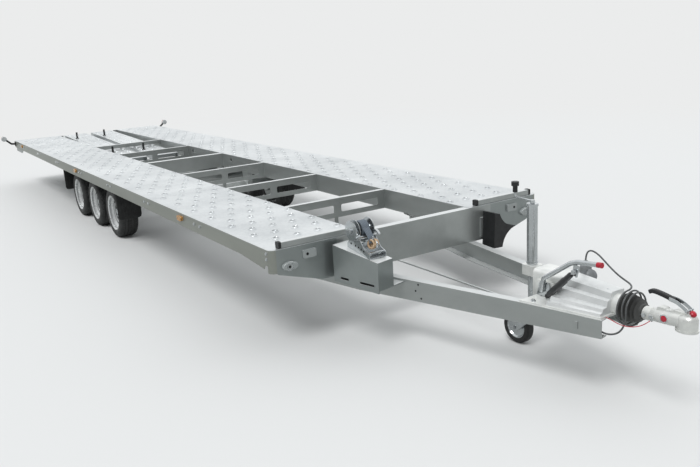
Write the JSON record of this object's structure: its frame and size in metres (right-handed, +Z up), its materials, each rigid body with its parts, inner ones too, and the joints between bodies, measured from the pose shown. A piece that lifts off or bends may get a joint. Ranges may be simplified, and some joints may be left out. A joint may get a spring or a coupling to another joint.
{
  "type": "car transporter trailer",
  "caption": "Triple-axle two-car transporter trailer with galvanised open runways, stowed loading ramps, hand winch, overrun coupling and jockey wheel",
  "frame": {"origin": "on the ground, halfway along the trailer's length and width", "axes": "+X towards the coupling, +Y to the left, +Z up"},
  "size_m": [10.515, 2.5798, 0.972],
  "materials": {
    "galvanised_sheet": "brushed",
    "galvanised_frame": "matte",
    "zinc_plated_steel": "satin",
    "painted_black_steel": "satin",
    "zinc_casting": "satin",
    "black_plastic": "matte",
    "black_rubber": "matte",
    "red_plastic": "gloss",
    "clear_lens": "gloss",
    "amber_lens": "gloss",
    "strap_webbing": "matte",
    "wheel_rim_steel": "satin",
    "tyre_rubber": "matte"
  },
  "bodies": {
    "chassis": {"axle_tubes": "galvanised_frame", "bellows": "black_rubber", "brake_linkage": "galvanised_frame", "breakaway_cord": "red_plastic", "breakaway_hook": "zinc_plated_steel", "coupling_handle": "black_plastic", "coupling_head": "zinc_casting", "crossmembers": "galvanised_frame", "drawbar_arms": "galvanised_frame", "drawtube": "zinc_plated_steel", "electric_cable": "black_rubber", "electric_plug": "black_plastic", "front_beam": "galvanised_frame", "front_fascias": "galvanised_frame", "front_lamps": "clear_lens", "gas_strut": "painted_black_steel", "handbrake_knob": "red_plastic", "handbrake_lever": "zinc_plated_steel", "housing_cover": "zinc_casting", "jockey_clamp": "zinc_casting", "jockey_knob": "black_plastic", "jockey_tube": "zinc_plated_steel", "loading_ramps": "galvanised_sheet", "main_beams": "galvanised_frame", "mudflaps": "black_plastic", "outline_lamp_stalks": "black_rubber", "outline_lamps": "clear_lens", "outriggers": "galvanised_frame", "overrun_housing": "zinc_casting", "ramp_clamps": "black_plastic", "rear_lamps": "red_plastic", "rear_light_board": "galvanised_frame", "runways": "galvanised_sheet", "side_markers": "amber_lens", "side_rails": "galvanised_frame", "swing_arms": "galvanised_frame", "wheel_chock": "black_plastic", "wheel_stop_caps": "black_plastic", "wheel_stops": "galvanised_frame", "winch_console": "galvanised_frame", "winch_drum": "zinc_plated_steel", "winch_frame": "painted_black_steel", "winch_strap": "strap_webbing"},
    "jockey_stem": {"jockey_leg": "zinc_plated_steel"},
    "jockey_castor": {"jockey_fork": "zinc_plated_steel"},
    "jockey_wheel": {"jockey_hub": "zinc_plated_steel", "jockey_tyre": "black_rubber"},
    "rear_left_wheel": {"rear_left_rim": "wheel_rim_steel", "rear_left_tyre": "tyre_rubber"},
    "rear_right_wheel": {"rear_right_rim": "wheel_rim_steel", "rear_right_tyre": "tyre_rubber"},
    "middle_left_wheel": {"middle_left_rim": "wheel_rim_steel", "middle_left_tyre": "tyre_rubber"},
    "middle_right_wheel": {"middle_right_rim": "wheel_rim_steel", "middle_right_tyre": "tyre_rubber"},
    "front_left_wheel": {"front_left_rim": "wheel_rim_steel", "front_left_tyre": "tyre_rubber"},
    "front_right_wheel": {"front_right_rim": "wheel_rim_steel", "front_right_tyre": "tyre_rubber"}
  },
  "joints": [
    {"name": "rear_left_axle", "type": "hinge", "parent": "chassis", "child": "rear_left_wheel", "pos_m": [-1.9125, 0.9025, 0.255], "axis": [0, 1, 0], "continuous": true},
    {"name": "rear_right_axle", "type": "hinge", "parent": "chassis", "child": "rear_right_wheel", "pos_m": [-1.9125, -0.9025, 0.255], "axis": [0, 1, 0], "continuous": true},
    {"name": "middle_left_axle", "type": "hinge", "parent": "chassis", "child": "middle_left_wheel", "pos_m": [-1.2075, 0.9025, 0.255], "axis": [0, 1, 0], "continuous": true},
    {"name": "middle_right_axle", "type": "hinge", "parent": "chassis", "child": "middle_right_wheel", "pos_m": [-1.2075, -0.9025, 0.255], "axis": [0, 1, 0], "continuous": true},
    {"name": "front_left_axle", "type": "hinge", "parent": "chassis", "child": "front_left_wheel", "pos_m": [-0.5025, 0.9025, 0.255], "axis": [0, 1, 0], "continuous": true},
    {"name": "front_right_axle", "type": "hinge", "parent": "chassis", "child": "front_right_wheel", "pos_m": [-0.5025, -0.9025, 0.255], "axis": [0, 1, 0], "continuous": true},
    {"name": "jockey_winding", "type": "slide", "parent": "chassis", "child": "jockey_stem", "axis": [0, 0, 1], "range_m": [0, 0.09]},
    {"name": "jockey_swivel", "type": "hinge", "parent": "jockey_stem", "child": "jockey_castor", "pos_m": [4.1625, 0.115, 0.22], "axis": [0, 0, 1], "continuous": true},
    {"name": "jockey_axle", "type": "hinge", "parent": "jockey_castor", "child": "jockey_wheel", "pos_m": [4.0585, 0.115, 0.102], "axis": [0, 1, 0], "continuous": true}
  ]
}
